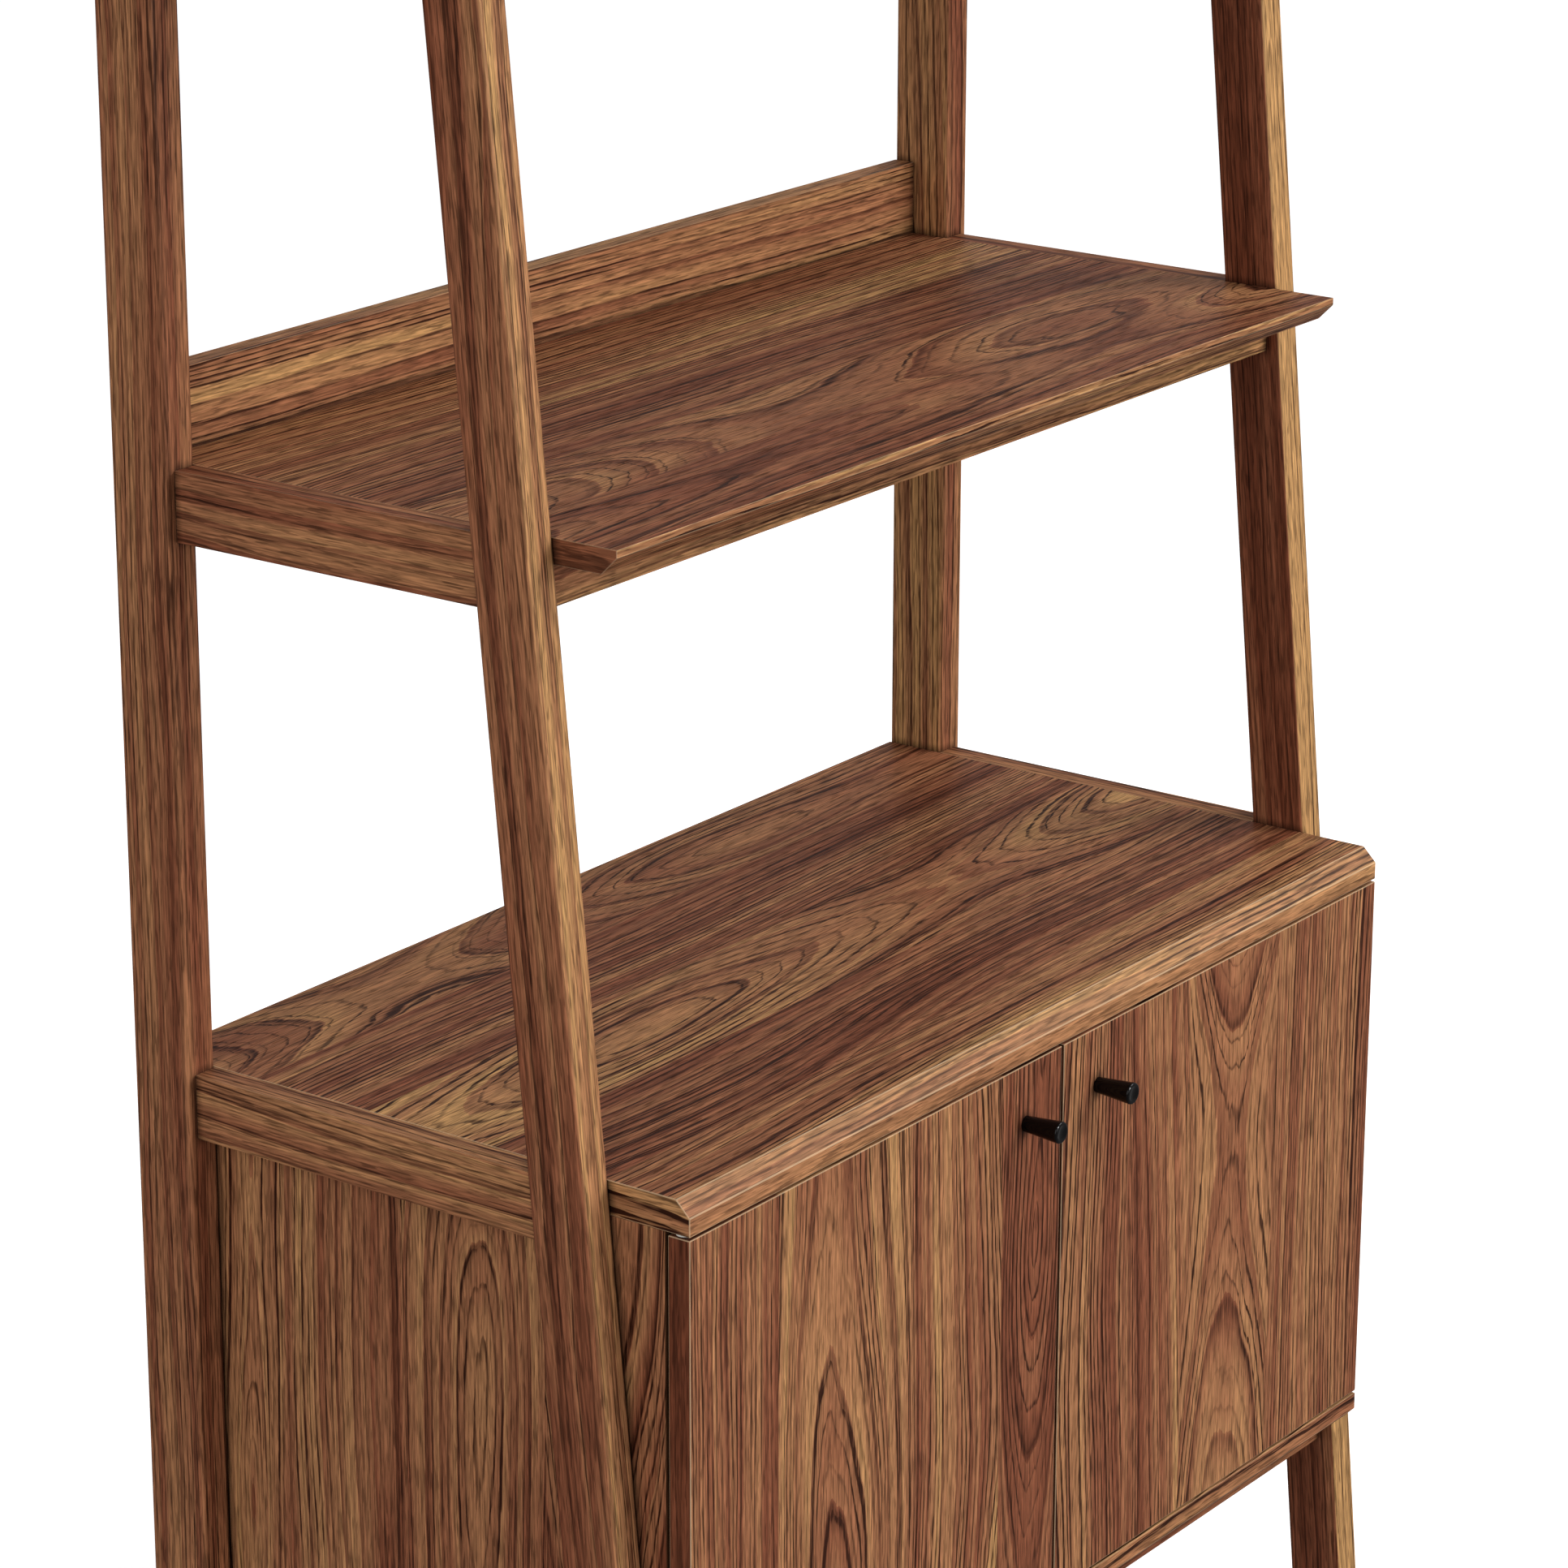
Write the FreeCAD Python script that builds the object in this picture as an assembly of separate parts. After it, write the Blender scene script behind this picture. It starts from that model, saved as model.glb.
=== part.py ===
import FreeCAD, Part
import os

# Walnut-veneered ladder shelf: two A-shaped side frames, three open shelves and a
# two-door cabinet. Millimetres, +Z up, front faces -Y, right side is +X.
# Origin: centre of the footprint, on the floor.
# "setback" below always means the distance in front of the rear plane.

Vector = FreeCAD.Vector
X_AXIS = Vector(1, 0, 0)
Y_AXIS = Vector(0, 1, 0)
Z_AXIS = Vector(0, 0, 1)

# ---------------------------------------------------------------- driving dimensions
TOTAL_WIDTH = 838.0
TOTAL_HEIGHT = 1829.0
LEG_WIDTH = 25.0              # legs and posts, left to right
REAR_POST_DEPTH = 44.5
FRONT_LEG_DEPTH = 41.5        # measured level, front to back
LEG_EDGE_RADIUS = 3.0
LEG_SHORTEST_LONG_EDGE = 1000.0
LEG_LEAN = 0.0931             # front leg: run per unit of height
LEG_REAR_AT_CABINET = 310.6   # setback of the front leg's rear face, at the cabinet top

CABINET_TOP_Z = 595.0
SHELF_PITCH = 383.0
OPEN_SHELVES = ("lower", "middle", "upper")

RAIL_THICKNESS = 18.0
SHELF_RAIL_HEIGHT = 44.0
CABINET_RAIL_HEIGHT = 42.0
SHELF_THICKNESS = 16.0
SHELF_OVERHANG = 45.3         # shelf nose in front of the front leg
SHELF_NOSE_HEIGHT = 5.0
LIP_RISE = 51.0
LIP_THICKNESS = 16.0
APRON_THICKNESS = 16.0
APRON_RECESS = 8.5            # apron face behind the front leg's face

CABINET_DEPTH = 411.2         # rear plane to door faces
TOP_THICKNESS = 22.0
TOP_CHAMFER = 10.0
PANEL_THICKNESS = 16.0
PANEL_TO_DOOR_GAP = 2.3
BACK_THICKNESS = 5.0
DOOR_THICKNESS = 16.0
DOOR_HEIGHT = 386.0
DOOR_END_GAP = 2.0            # above and below each door
DOOR_MEETING_GAP = 2.5
CABINET_APRON_SETBACK = 382.0
INNER_SHELF_DEPTH = 352.0
INNER_SHELF_FROM_BACK = 8.0
INNER_SHELF_SIDE_GAP = 1.0

KNOB_LENGTH = 27.5
KNOB_BASE_RADIUS = 5.2
KNOB_END_RADIUS = 7.4
KNOB_DROP = 64.0              # knob centre below the cabinet top surface
KNOB_FROM_CENTRE = 41.8
KNOB_RIM_RADIUS = 1.4
KNOB_DISH_RADIUS = 5.2
KNOB_DISH_DEPTH = 0.9
KNOB_SCREW_RADIUS = 2.0
KNOB_SCREW_HOLE_RADIUS = 2.2
KNOB_SCREW_IN_KNOB = 14.0
KNOB_SCREW_HEAD_RADIUS = 4.2
KNOB_SCREW_HEAD_HEIGHT = 2.6
KNOB_SCREW_EDGE_RADIUS = 1.2
KNOB_SCREW_SLOT = (4.8, 0.9, 1.4)             # length, width, depth

PIVOT_INSET = 5.5             # hinge axis from the door's outer edge
PIVOT_PIN_RADIUS = 2.5
PIVOT_PIN_LENGTH = 24.0
PIVOT_PIN_IN_DOOR = 12.0
BUSH_BORE_RADIUS = 2.55
BUSH_RADIUS = 4.0
BUSH_DEPTH = 11.0
BUSH_FLANGE_RADIUS = 5.0
BUSH_FLANGE_THICKNESS = 1.0

CATCH_LENGTH = 62.0
CATCH_BODY_LENGTH = 46.0
CATCH_HEIGHT = 14.0
CATCH_EAR_HEIGHT = 3.0
CATCH_REAR_SETBACK = 377.0
CATCH_FRONT_SETBACK = 391.6
CATCH_EDGE_RADIUS = 1.5
CATCH_SCREW_XS = (-27.0, 27.0)
CATCH_SCREW = (2.8, 1.5, 14.0)                # head radius, shank radius, length
MAGNET_PROUD = 1.9
MAGNET_WIDTH = 14.0
MAGNET_HEIGHT = 6.0
MAGNET_DEPTH = 8.0
STRIKE_WIDTH = 16.0
STRIKE_HEIGHT = 26.0
STRIKE_THICKNESS = 1.2
STRIKE_FROM_CENTRE = 13.0
STRIKE_CORNER_RADIUS = 2.0
STRIKE_DROP = 17.0            # plate centre below the top board
STRIKE_SCREW_DROP = 7.0       # screw below the plate centre
STRIKE_SCREW = (2.6, 1.4, 12.0)

DOWEL_RADIUS = 4.0
DOWEL_LENGTH = 30.0
SMALL_DOWEL_RADIUS = 3.0
SMALL_DOWEL_LENGTH = 20.0
LIP_DOWEL_SPREAD = 18.0       # above and below the middle of a lip's end
APRON_DOWEL_XS = (-300.0, -100.0, 100.0, 300.0)
FIT_CLEARANCE = 0.1           # radial, and 0.5 at each end of a dowel hole
END_CLEARANCE = 0.5

CAM_RADIUS = 7.5
CAM_THICKNESS = 12.0
CAM_FROM_END = 24.0
CAM_BOLT_RADIUS = 3.0
CAM_BOLT_THREAD = 11.0        # length in the rail or board it pulls
CAM_BOLT_HEIGHT = 8.0         # bolt axis above the board's underside
CAM_SLOT = (9.0, 1.6, 2.0)                    # length, width, depth
BOARD_CAM_REAR_SETBACK = 85.0
BOARD_CAM_FROM_LEG = 40.0     # front cams behind the front leg
PANEL_CAM_SETBACKS = (120.0, 330.0)

PIN_COLUMNS = (60.0, 320.0)
PIN_STEP = 32.0
PIN_RADIUS = 2.5
PIN_IN_PANEL = 9.0
PIN_OUT = 9.0
PIN_COLLAR_RADIUS = 4.0
PIN_COLLAR_THICKNESS = 0.8
PIN_HOLE_STEPS = (-2, -1, 0, 1, 2)
PIN_COLLAR_CUT = 5.0          # collar cut away where the shelf rests

CARCASS_SCREW_SETBACKS = (74.0, 200.0, 262.0)
CARCASS_SCREW_DROP = 32.0     # below the cabinet top surface
CARCASS_SCREW = (4.0, 2.0, 30.0)              # head radius, shank radius, length
BACK_SCREW_HEIGHTS = (20.0, 133.0, 257.0, 370.0)
BACK_SCREW = (3.0, 1.5, 18.0)
RECESS_WIDTH_SHARE = 0.6      # driver recess, as a share of the shank radius
RECESS_DEPTH_SHARE = 0.7      # and of the head height

BRACKET_XS = (-300.0, 300.0)
BRACKET_WIDTH = 44.0
BRACKET_REACH = 40.0
BRACKET_DROP = 30.0
BRACKET_THICKNESS = 2.0
BRACKET_HOLE_RADIUS = 2.75
BRACKET_HOLE_SPACING = 24.0
BRACKET_HOLE_DROP = 17.0
BRACKET_SCREW_SETBACKS = (9.0, 29.0)
BRACKET_SCREW = (3.2, 1.6, 13.0)              # head radius, shank radius, length

GLIDE_HEIGHT = 4.0
GLIDE_RADIUS = 9.0
GLIDE_PIN_RADIUS = 2.0
GLIDE_PIN_LENGTH = 12.0
GLIDE_CHAMFER = 1.0

# ---------------------------------------------------------------- derived positions
HALF_WIDTH = TOTAL_WIDTH / 2
INNER_HALF = HALF_WIDTH - LEG_WIDTH          # inner faces of legs, ends of every board
PANEL_INNER = INNER_HALF - PANEL_THICKNESS
REAR_Y = (CABINET_DEPTH + KNOB_LENGTH) / 2
TOP_UNDER_Z = CABINET_TOP_Z - TOP_THICKNESS
BOTTOM_TOP_Z = TOP_UNDER_Z - DOOR_HEIGHT - 2 * DOOR_END_GAP
BOTTOM_UNDER_Z = BOTTOM_TOP_Z - TOP_THICKNESS
DOOR_REAR_SETBACK = CABINET_DEPTH - DOOR_THICKNESS
PANEL_FRONT_SETBACK = DOOR_REAR_SETBACK - PANEL_TO_DOOR_GAP
SHELF_TOPS = {name: CABINET_TOP_Z + SHELF_PITCH * (i + 1) for i, name in enumerate(OPEN_SHELVES)}
PIVOT_X = INNER_HALF - PIVOT_INSET
PIVOT_SETBACK = CABINET_DEPTH - DOOR_THICKNESS / 2
INNER_SHELF_Z = (BOTTOM_TOP_Z + TOP_UNDER_Z) / 2
PIN_SHELF_Z = INNER_SHELF_Z - PIN_RADIUS
STRIKE_Z = TOP_UNDER_Z - STRIKE_DROP
BRACKET_TOP_Z = SHELF_TOPS["upper"] - SHELF_THICKNESS
REAR_GLIDE_SETBACK = REAR_POST_DEPTH / 2
FRONT_GLIDE_SETBACK = LEG_REAR_AT_CABINET + LEG_LEAN * (CABINET_TOP_Z - GLIDE_HEIGHT) + FRONT_LEG_DEPTH / 2
SIDES = {"left": -1, "right": 1}

# every pair of side rails: height of its top face, its own height
RAIL_LEVELS = {name: (top, SHELF_RAIL_HEIGHT) for name, top in SHELF_TOPS.items()}
RAIL_LEVELS["cabinet_top"] = (CABINET_TOP_Z, CABINET_RAIL_HEIGHT)
RAIL_LEVELS["cabinet_bottom"] = (BOTTOM_TOP_Z, SHELF_RAIL_HEIGHT)

# every board held between the rails: height of its underside
BOARD_UNDERSIDES = {name: top - SHELF_THICKNESS for name, top in SHELF_TOPS.items()}
BOARD_UNDERSIDES["cabinet_top"] = TOP_UNDER_Z
BOARD_UNDERSIDES["cabinet_bottom"] = BOTTOM_UNDER_Z


# ---------------------------------------------------------------- geometry helpers
def y_at(setback):
    return REAR_Y - setback


def leg_rear(z):
    return LEG_REAR_AT_CABINET + LEG_LEAN * (CABINET_TOP_Z - z)


def leg_front(z):
    return leg_rear(z) + FRONT_LEG_DEPTH


def block(x_range, setbacks, z_range):
    x0, x1 = sorted(x_range)
    y0, y1 = sorted((y_at(setbacks[0]), y_at(setbacks[1])))
    z0, z1 = sorted(z_range)
    return Part.makeBox(x1 - x0, y1 - y0, z1 - z0, Vector(x0, y0, z0))


def side_profile(points, x_range):
    """Extrude an outline given as (setback, height) pairs from x0 to x1."""
    x0, x1 = sorted(x_range)
    corners = [Vector(x0, y_at(setback), z) for setback, z in points]
    face = Part.Face(Part.makePolygon(corners + corners[:1]))
    return face.extrude(Vector(x1 - x0, 0, 0))


def rod(start, direction, radius, length):
    return Part.makeCylinder(radius, length, start, direction)


def centred_rod(centre, direction, radius, length):
    return rod(centre - direction * (length / 2), direction, radius, length)


def countersunk_hole(face_centre, direction, head_radius, shank_radius, length):
    """The full outline of a screw: flat head flush at face_centre, shank along direction."""
    head_height = head_radius - shank_radius
    head = Part.makeCone(head_radius, shank_radius, head_height, face_centre, direction)
    shank = rod(face_centre, direction, shank_radius, length)
    return head.fuse(shank).removeSplitter()


def countersunk_screw(face_centre, direction, head_radius, shank_radius, length):
    """The same outline with the driver recess in its head."""
    recess_depth = (head_radius - shank_radius) * RECESS_DEPTH_SHARE
    recess = rod(face_centre, direction, shank_radius * RECESS_WIDTH_SHARE, recess_depth)
    return countersunk_hole(face_centre, direction, head_radius, shank_radius, length).cut(recess)


def cut_all(solid, tools):
    return solid.cut(Part.makeCompound(tools)) if tools else solid


def round_long_edges(solid, radius, shortest):
    edges = [edge for edge in solid.Edges if edge.Length > shortest]
    return solid.makeFillet(radius, edges)


# ---------------------------------------------------------------- where fasteners go
def rail_x(side):
    return SIDES[side] * (INNER_HALF + RAIL_THICKNESS / 2)


def rail_dowel_centres(side):
    """Two dowels at each end of each side rail, across the joint with post or leg."""
    centres = []
    for top, height in RAIL_LEVELS.values():
        for offset in (-height / 4, height / 4):
            z = top - height / 2 + offset
            centres.append(Vector(rail_x(side), y_at(REAR_POST_DEPTH), z))
            centres.append(Vector(rail_x(side), y_at(leg_rear(z)), z))
    return centres


def lip_dowel_centres(side, name):
    low = SHELF_TOPS[name] - SHELF_THICKNESS
    middle = low + (LIP_RISE + SHELF_THICKNESS) / 2
    x = SIDES[side] * INNER_HALF
    return [Vector(x, y_at(LIP_THICKNESS / 2), middle + dz) for dz in (-LIP_DOWEL_SPREAD, LIP_DOWEL_SPREAD)]


def apron_front(name):
    """Setback of an apron's front face."""
    if name == "cabinet_bottom":
        return CABINET_APRON_SETBACK
    top, height = RAIL_LEVELS[name]
    return leg_front(top - height / 2) - APRON_RECESS


def apron_dowel_centres(name):
    setback = apron_front(name) - APRON_THICKNESS / 2
    z = BOARD_UNDERSIDES[name]
    return [Vector(x, y_at(setback), z) for x in APRON_DOWEL_XS]


def board_cam_points(name):
    """(side sign, setback, underside height) of the four cams under one board."""
    rail_top, rail_height = RAIL_LEVELS[name]
    setbacks = (BOARD_CAM_REAR_SETBACK, leg_rear(rail_top) - BOARD_CAM_FROM_LEG)
    return [(sign, setback, BOARD_UNDERSIDES[name]) for sign in SIDES.values() for setback in setbacks]


def board_cam(point):
    sign, setback, under = point
    return rod(Vector(sign * (INNER_HALF - CAM_FROM_END), y_at(setback), under), Z_AXIS, CAM_RADIUS,
               CAM_THICKNESS)


def board_cam_bolt(point, clearance=0.0):
    sign, setback, under = point
    start = Vector(sign * (INNER_HALF - CAM_FROM_END), y_at(setback), under + CAM_BOLT_HEIGHT)
    length = CAM_FROM_END + CAM_BOLT_THREAD + clearance
    return rod(start, X_AXIS * sign, CAM_BOLT_RADIUS + clearance, length)


def panel_cam_points(sign):
    """(side sign, setback, end height, direction towards the board) of one side panel."""
    ends = ((BOTTOM_TOP_Z, -1), (TOP_UNDER_Z, 1))
    return [(sign, setback, z, way) for setback in PANEL_CAM_SETBACKS for z, way in ends]


def panel_cam(point):
    sign, setback, z, way = point
    start = Vector(sign * PANEL_INNER, y_at(setback), z - way * CAM_FROM_END)
    return rod(start, X_AXIS * sign, CAM_RADIUS, CAM_THICKNESS)


def panel_cam_bolt(point, clearance=0.0):
    sign, setback, z, way = point
    start = Vector(sign * (PANEL_INNER + PANEL_THICKNESS / 2), y_at(setback), z - way * CAM_FROM_END)
    length = CAM_FROM_END + CAM_BOLT_THREAD + clearance
    return rod(start, Z_AXIS * way, CAM_BOLT_RADIUS + clearance, length)


def with_cross_slot(solid, face_centre, inward, across, slot):
    """Cut the cross slot for a screwdriver, centred on face_centre and sunk inward."""
    length, width, depth = slot
    other = inward.cross(across)
    for along, wide in ((across, other), (other, across)):
        corner = face_centre - along * (length / 2) - wide * (width / 2)
        wire = Part.makePolygon([corner, corner + along * length, corner + along * length + wide * width,
                                 corner + wide * width, corner])
        solid = solid.cut(Part.Face(wire).extrude(inward * depth))
    return solid


def pin_hole_tools(sign):
    heights = [PIN_SHELF_Z + PIN_STEP * step for step in PIN_HOLE_STEPS]
    return [rod(Vector(sign * PANEL_INNER, y_at(setback), z), X_AXIS * sign, PIN_RADIUS, PIN_IN_PANEL + 1)
            for setback in PIN_COLUMNS for z in heights]


def carcass_screw(sign, setback, make=countersunk_screw):
    start = Vector(sign * PANEL_INNER, y_at(setback), CABINET_TOP_Z - CARCASS_SCREW_DROP)
    return make(start, X_AXIS * sign, *CARCASS_SCREW)


def back_screw(sign, height, make=countersunk_screw):
    start = Vector(sign * (INNER_HALF - PANEL_THICKNESS / 2), REAR_Y, BOTTOM_TOP_Z + height)
    return make(start, -Y_AXIS, *BACK_SCREW)


def glide_pin(x, setback, clearance=0.0):
    start = Vector(x, y_at(setback), GLIDE_HEIGHT)
    return rod(start, Z_AXIS, GLIDE_PIN_RADIUS, GLIDE_PIN_LENGTH + clearance)


# ---------------------------------------------------------------- side frames
def side_frame_holes(side):
    holes = [centred_rod(centre, Y_AXIS, DOWEL_RADIUS + FIT_CLEARANCE, DOWEL_LENGTH + 2 * END_CLEARANCE)
             for centre in rail_dowel_centres(side)]
    for name in OPEN_SHELVES:
        for centre in lip_dowel_centres(side, name):
            holes.append(centred_rod(centre, X_AXIS, SMALL_DOWEL_RADIUS + FIT_CLEARANCE,
                                     SMALL_DOWEL_LENGTH + 2 * END_CLEARANCE))
    return holes


def rear_post(side):
    sign = SIDES[side]
    post = block((sign * INNER_HALF, sign * HALF_WIDTH), (0, REAR_POST_DEPTH), (GLIDE_HEIGHT, TOTAL_HEIGHT))
    post = round_long_edges(post, LEG_EDGE_RADIUS, LEG_SHORTEST_LONG_EDGE)
    pin = glide_pin(sign * (INNER_HALF + LEG_WIDTH / 2), REAR_GLIDE_SETBACK, END_CLEARANCE)
    return cut_all(post, side_frame_holes(side) + [pin])


def front_leg(side):
    sign = SIDES[side]
    low, high = GLIDE_HEIGHT, TOTAL_HEIGHT
    outline = [(leg_rear(low), low), (leg_front(low), low), (leg_front(high), high), (leg_rear(high), high)]
    leg = side_profile(outline, (sign * INNER_HALF, sign * HALF_WIDTH))
    leg = round_long_edges(leg, LEG_EDGE_RADIUS, LEG_SHORTEST_LONG_EDGE)
    pin = glide_pin(sign * (INNER_HALF + LEG_WIDTH / 2), FRONT_GLIDE_SETBACK, END_CLEARANCE)
    return cut_all(leg, side_frame_holes(side) + [pin])


def side_rail(side, level):
    sign = SIDES[side]
    top, height = RAIL_LEVELS[level]
    low = top - height
    outline = [(REAR_POST_DEPTH, low), (leg_rear(low), low), (leg_rear(top), top), (REAR_POST_DEPTH, top)]
    rail = side_profile(outline, (sign * INNER_HALF, sign * (INNER_HALF + RAIL_THICKNESS)))
    holes = [centred_rod(centre, Y_AXIS, DOWEL_RADIUS + FIT_CLEARANCE, DOWEL_LENGTH + 2 * END_CLEARANCE)
             for centre in rail_dowel_centres(side) if low < centre.z < top]
    holes += [board_cam_bolt(point, END_CLEARANCE) for point in board_cam_points(level) if point[0] == sign]
    if level == "cabinet_top":
        holes += [carcass_screw(sign, setback, countersunk_hole) for setback in CARCASS_SCREW_SETBACKS]
    return cut_all(rail, holes)


def foot_glide(side, setback):
    x = SIDES[side] * (INNER_HALF + LEG_WIDTH / 2)
    disc = rod(Vector(x, y_at(setback), 0), Z_AXIS, GLIDE_RADIUS, GLIDE_HEIGHT)
    lower_rim = [edge for edge in disc.Edges if edge.BoundBox.ZMax < 0.01]
    disc = disc.makeChamfer(GLIDE_CHAMFER, lower_rim)
    return disc.fuse(glide_pin(x, setback)).removeSplitter()


# ---------------------------------------------------------------- open shelves
def board_cam_holes(name):
    holes = []
    for point in board_cam_points(name):
        holes.append(board_cam(point))
        holes.append(board_cam_bolt(point, END_CLEARANCE))
    return holes


def apron_dowel_holes(name):
    return [centred_rod(centre, Z_AXIS, SMALL_DOWEL_RADIUS + FIT_CLEARANCE,
                        SMALL_DOWEL_LENGTH + 2 * END_CLEARANCE) for centre in apron_dowel_centres(name)]


def shelf_front(name):
    return leg_front(SHELF_TOPS[name]) + SHELF_OVERHANG


def shelf_board(name):
    top = SHELF_TOPS[name]
    under = top - SHELF_THICKNESS
    bevel = SHELF_THICKNESS - SHELF_NOSE_HEIGHT
    front = shelf_front(name)
    outline = [(LIP_THICKNESS, under), (front - bevel, under), (front, under + bevel), (front, top),
               (LIP_THICKNESS, top)]
    board = side_profile(outline, (-INNER_HALF, INNER_HALF))
    holes = board_cam_holes(name) + apron_dowel_holes(name)
    if name == "upper":
        holes += [bracket_screw(x, BRACKET_SCREW_SETBACKS[1], countersunk_hole) for x in BRACKET_XS]
    return cut_all(board, holes)


def back_lip(name):
    top = SHELF_TOPS[name]
    lip = block((-INNER_HALF, INNER_HALF), (0, LIP_THICKNESS), (top - SHELF_THICKNESS, top + LIP_RISE))
    holes = []
    for side in SIDES:
        for centre in lip_dowel_centres(side, name):
            holes.append(centred_rod(centre, X_AXIS, SMALL_DOWEL_RADIUS + FIT_CLEARANCE,
                                     SMALL_DOWEL_LENGTH + 2 * END_CLEARANCE))
    if name == "upper":
        holes += [bracket_screw(x, BRACKET_SCREW_SETBACKS[0], countersunk_hole) for x in BRACKET_XS]
    return cut_all(lip, holes)


def front_apron(name):
    top, height = RAIL_LEVELS[name]
    front = apron_front(name)
    apron = block((-INNER_HALF, INNER_HALF), (front - APRON_THICKNESS, front),
                  (top - height, BOARD_UNDERSIDES[name]))
    return cut_all(apron, apron_dowel_holes(name))


# ---------------------------------------------------------------- cabinet
def bush_hole(sign, face_z, way):
    centre = Vector(sign * PIVOT_X, y_at(PIVOT_SETBACK), face_z)
    return rod(centre, Z_AXIS * way, BUSH_RADIUS, BUSH_DEPTH)


def cabinet_top_board():
    low, high = TOP_UNDER_Z, CABINET_TOP_Z
    front = CABINET_DEPTH
    outline = [(0, low), (front, low), (front, high - TOP_CHAMFER), (front - TOP_CHAMFER, high), (0, high)]
    board = side_profile(outline, (-INNER_HALF, INNER_HALF))
    holes = board_cam_holes("cabinet_top")
    for sign in SIDES.values():
        holes += [panel_cam_bolt(point, END_CLEARANCE) for point in panel_cam_points(sign) if point[3] > 0]
        holes.append(bush_hole(sign, low, 1))
    holes += [catch_screw(x, countersunk_hole) for x in CATCH_SCREW_XS]
    return cut_all(board, holes)


def cabinet_bottom_board():
    low, high = BOTTOM_UNDER_Z, BOTTOM_TOP_Z
    front = CABINET_DEPTH
    outline = [(0, low), (front - TOP_CHAMFER, low), (front, low + TOP_CHAMFER), (front, high), (0, high)]
    board = side_profile(outline, (-INNER_HALF, INNER_HALF))
    holes = board_cam_holes("cabinet_bottom") + apron_dowel_holes("cabinet_bottom")
    for sign in SIDES.values():
        holes += [panel_cam_bolt(point, END_CLEARANCE) for point in panel_cam_points(sign) if point[3] < 0]
        holes.append(bush_hole(sign, high, -1))
    return cut_all(board, holes)


def cabinet_side(side):
    sign = SIDES[side]
    panel = block((sign * PANEL_INNER, sign * INNER_HALF), (BACK_THICKNESS, PANEL_FRONT_SETBACK),
                  (BOTTOM_TOP_Z, TOP_UNDER_Z))
    holes = pin_hole_tools(sign)
    for point in panel_cam_points(sign):
        holes.append(panel_cam(point))
        holes.append(panel_cam_bolt(point, END_CLEARANCE))
    holes += [carcass_screw(sign, setback, countersunk_hole) for setback in CARCASS_SCREW_SETBACKS]
    holes += [back_screw(sign, height, countersunk_hole) for height in BACK_SCREW_HEIGHTS]
    return cut_all(panel, holes)


def cabinet_back_panel():
    panel = block((-INNER_HALF, INNER_HALF), (0, BACK_THICKNESS), (BOTTOM_TOP_Z, TOP_UNDER_Z))
    holes = [back_screw(sign, height, countersunk_hole) for sign in SIDES.values()
             for height in BACK_SCREW_HEIGHTS]
    return cut_all(panel, holes)


def cabinet_inner_shelf():
    half = PANEL_INNER - INNER_SHELF_SIDE_GAP
    setbacks = (INNER_SHELF_FROM_BACK, INNER_SHELF_FROM_BACK + INNER_SHELF_DEPTH)
    return block((-half, half), setbacks, (INNER_SHELF_Z, INNER_SHELF_Z + SHELF_THICKNESS))


def shelf_support_pins():
    pins = []
    for sign in SIDES.values():
        for setback in PIN_COLUMNS:
            start = Vector(sign * (PANEL_INNER + PIN_IN_PANEL), y_at(setback), PIN_SHELF_Z)
            shaft = rod(start, X_AXIS * -sign, PIN_RADIUS, PIN_IN_PANEL + PIN_OUT)
            collar_start = Vector(sign * PANEL_INNER, y_at(setback), PIN_SHELF_Z)
            collar = rod(collar_start, X_AXIS * -sign, PIN_COLLAR_RADIUS, PIN_COLLAR_THICKNESS)
            clear = block((sign * PANEL_INNER, sign * (PANEL_INNER - PIN_OUT)),
                          (setback - PIN_COLLAR_CUT, setback + PIN_COLLAR_CUT),
                          (INNER_SHELF_Z, INNER_SHELF_Z + PIN_COLLAR_CUT))
            pins.append(shaft.fuse(collar.cut(clear)).removeSplitter())
    return Part.makeCompound(pins)


# ---------------------------------------------------------------- doors and knobs
def door_z_range():
    return (BOTTOM_TOP_Z + DOOR_END_GAP, TOP_UNDER_Z - DOOR_END_GAP)


def knob_centre(side):
    return Vector(SIDES[side] * KNOB_FROM_CENTRE, y_at(CABINET_DEPTH), CABINET_TOP_Z - KNOB_DROP)


def pivot_pin(sign, way):
    """The pin in the door's top (way 1) or bottom (way -1) edge."""
    low, high = door_z_range()
    edge_z = high if way > 0 else low
    start = Vector(sign * PIVOT_X, y_at(PIVOT_SETBACK), edge_z - way * PIVOT_PIN_IN_DOOR)
    return rod(start, Z_AXIS * way, PIVOT_PIN_RADIUS, PIVOT_PIN_LENGTH)


def strike_screw(sign, make=countersunk_screw):
    z = STRIKE_Z - STRIKE_SCREW_DROP
    start = Vector(sign * STRIKE_FROM_CENTRE, y_at(DOOR_REAR_SETBACK - STRIKE_THICKNESS), z)
    return make(start, -Y_AXIS, *STRIKE_SCREW)


def strike_plate(side):
    sign = SIDES[side]
    x = sign * STRIKE_FROM_CENTRE
    plate = block((x - STRIKE_WIDTH / 2, x + STRIKE_WIDTH / 2),
                  (DOOR_REAR_SETBACK - STRIKE_THICKNESS, DOOR_REAR_SETBACK),
                  (STRIKE_Z - STRIKE_HEIGHT / 2, STRIKE_Z + STRIKE_HEIGHT / 2))
    corners = [edge for edge in plate.Edges if abs(edge.Length - STRIKE_THICKNESS) < 0.01]
    return plate.makeFillet(STRIKE_CORNER_RADIUS, corners).cut(strike_screw(sign, countersunk_hole))


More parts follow.
